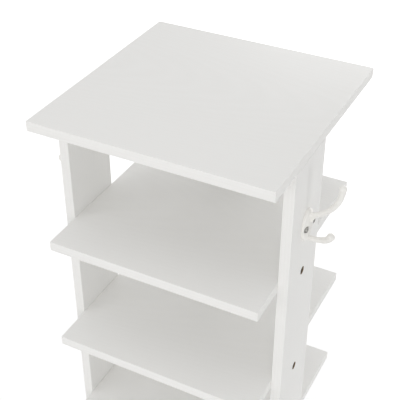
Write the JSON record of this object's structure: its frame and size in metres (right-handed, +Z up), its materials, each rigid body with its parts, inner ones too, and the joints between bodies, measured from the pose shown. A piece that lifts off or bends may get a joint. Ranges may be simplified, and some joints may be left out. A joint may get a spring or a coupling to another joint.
{
  "type": "shoe rack",
  "caption": "Slim free-standing tower of square shelves between narrow uprights, with a flat top and a double coat hook on each side, for shoes and hanging coats.",
  "frame": {"origin": "on the floor, under the middle of the top board", "axes": "+Z up, -Y towards the open front, +X to the right as seen from the front"},
  "size_m": [0.3594, 0.28, 1.08],
  "materials": {
    "white_board": "white laminate, satin, with a faint wood grain",
    "cream_plastic": "semi-gloss",
    "dark_steel": "dark bronze",
    "grey_steel": "satin",
    "zinc": "cast, dull",
    "beech": "raw",
    "black_plastic": "matte"
  },
  "bodies": {
    "root": {"top_panel": "white_board", "left_upright": "white_board", "right_upright": "white_board", "back_upright": "white_board", "shelf_1": "white_board", "shelf_2": "white_board", "shelf_3": "white_board", "shelf_4": "white_board", "shelf_5": "white_board", "shelf_6": "white_board", "shelf_7": "white_board", "shelf_1_left_screw": "dark_steel", "shelf_1_right_screw": "dark_steel", "shelf_1_back_screw": "dark_steel", "shelf_2_left_screw": "dark_steel", "shelf_2_right_screw": "dark_steel", "shelf_2_back_screw": "dark_steel", "shelf_3_left_screw": "dark_steel", "shelf_3_right_screw": "dark_steel", "shelf_3_back_screw": "dark_steel", "shelf_4_left_screw": "dark_steel", "shelf_4_right_screw": "dark_steel", "shelf_4_back_screw": "dark_steel", "shelf_5_left_screw": "dark_steel", "shelf_5_right_screw": "dark_steel", "shelf_5_back_screw": "dark_steel", "shelf_6_left_screw": "dark_steel", "shelf_6_right_screw": "dark_steel", "shelf_6_back_screw": "dark_steel", "shelf_7_left_screw": "dark_steel", "shelf_7_right_screw": "dark_steel", "shelf_7_back_screw": "dark_steel", "left_hook": "cream_plastic", "left_hook_front_screw": "grey_steel", "left_hook_rear_screw": "grey_steel", "right_hook": "cream_plastic", "right_hook_front_screw": "grey_steel", "right_hook_rear_screw": "grey_steel", "left_cam": "zinc", "left_cam_bolt": "zinc", "right_cam": "zinc", "right_cam_bolt": "zinc", "back_cam": "zinc", "back_cam_bolt": "zinc", "left_front_dowel": "beech", "left_rear_dowel": "beech", "right_front_dowel": "beech", "right_rear_dowel": "beech", "back_left_dowel": "beech", "back_right_dowel": "beech", "left_front_glide": "black_plastic", "left_rear_glide": "black_plastic", "right_front_glide": "black_plastic", "right_rear_glide": "black_plastic", "back_left_glide": "black_plastic", "back_right_glide": "black_plastic"}
  },
  "joints": []
}
